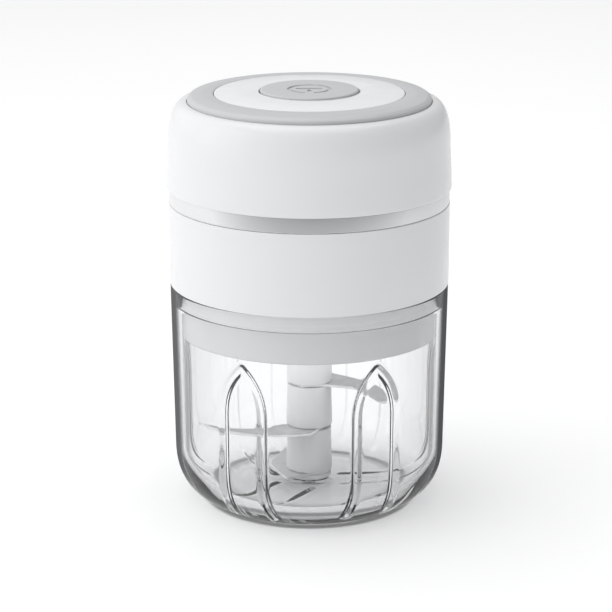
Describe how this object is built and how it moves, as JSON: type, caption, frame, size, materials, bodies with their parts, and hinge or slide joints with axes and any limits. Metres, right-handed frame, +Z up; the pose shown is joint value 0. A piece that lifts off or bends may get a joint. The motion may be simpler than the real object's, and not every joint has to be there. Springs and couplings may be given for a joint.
{
  "type": "food processor",
  "caption": "Round cordless mini food processor: white motor head with a push button on a clear ribbed jar, with a lift-off stack of sickle blades.",
  "frame": {"origin": "centre of the jar's flat foot, on the surface it stands on", "axes": "+Z up along the common axis of jar, blades and head, -Y towards the front, +Y towards the charging port"},
  "size_m": [0.0812, 0.0812, 0.1205],
  "materials": {
    "shell": "white ABS, satin gloss",
    "trim": "light grey, fine matte",
    "band": "light grey, satin",
    "hub": "white food-grade plastic",
    "clear": "clear, polished",
    "silicone": "soft white silicone",
    "blade": "ground stainless steel",
    "steel": "zinc-plated steel",
    "dark": "black moulded plastic and ferrite",
    "board": "green solder mask",
    "copper": "enamelled copper",
    "bronze": "sintered bronze",
    "cell": "blue shrink sleeve",
    "red": "red wire insulation"
  },
  "bodies": {
    "jar": {"jar": "clear", "spindle_pin": "steel"},
    "blades": {"drive_shaft": "hub", "hub_spacer_upper": "hub", "hub_spacer_lower": "hub", "hub_end_ring": "hub", "blade_upper": "blade", "blade_middle": "blade", "blade_lower": "blade"},
    "head": {"bottom_cover": "shell", "seal_ring": "silicone", "shaft_seal": "silicone", "lower_housing": "shell", "seam_band": "band", "upper_housing": "shell", "trim_ring": "trim", "top_plate": "shell", "cover_screw_1": "steel", "cover_screw_2": "steel", "cover_screw_3": "steel", "cover_screw_4": "steel", "button_spring": "steel", "control_board": "board", "switch_body": "dark", "control_chip": "dark", "board_screw_1": "steel", "board_screw_2": "steel", "cell_1": "cell", "cell_2": "cell", "charge_board": "board", "charge_screw_1": "steel", "charge_screw_2": "steel", "usb_socket": "steel", "interlock_switch": "dark", "motor_holder": "hub", "motor_can": "steel", "motor_end_bell": "dark", "motor_magnet_1": "dark", "motor_magnet_2": "dark", "motor_bearing_front": "bronze", "motor_bearing_rear": "bronze", "motor_brush_1": "copper", "motor_brush_2": "copper", "motor_screw_1": "steel", "motor_screw_2": "steel", "battery_wire_positive": "red", "battery_wire_negative": "dark", "motor_wire_1": "red", "motor_wire_2": "dark"},
    "rotor": {"motor_shaft": "steel", "rotor_core": "steel", "rotor_windings": "copper", "commutator": "copper", "drive_coupling": "hub"},
    "button": {"button_cap": "trim", "switch_plunger": "dark"},
    "interlock": {"interlock_pin": "hub"},
    "port_plug": {"port_plug": "silicone"}
  },
  "joints": [
    {"name": "head_lift", "type": "slide", "parent": "jar", "child": "head", "axis": [0, 0, 1], "range_m": [0, 0.08]},
    {"name": "interlock_slide", "type": "slide", "parent": "head", "child": "interlock", "axis": [0, 0, 1], "range_m": [-0.002, 0]},
    {"name": "rotor_spin", "type": "hinge", "parent": "head", "child": "rotor", "pos_m": [0, 0, 0.058], "axis": [0, 0, 1], "continuous": true},
    {"name": "blade_spin", "type": "hinge", "parent": "jar", "child": "blades", "pos_m": [0, 0, 0.006], "axis": [0, 0, 1], "continuous": true},
    {"name": "button_press", "type": "slide", "parent": "head", "child": "button", "axis": [0, 0, -1], "range_m": [0, 0.0015], "stiffness_N_per_m": 800, "springref_m": -0.0006, "deforming": ["button_spring"]},
    {"name": "port_plug_open", "type": "hinge", "parent": "head", "child": "port_plug", "pos_m": [-0.0066, 0.0392, 0.077], "axis": [0, 0, 1], "range_deg": [0, 100]}
  ],
  "couplings": [
    {"joint": "interlock_slide", "follows": "head_lift", "ratio": -0.025},
    {"joint": "blade_spin", "follows": "rotor_spin", "ratio": 1}
  ]
}
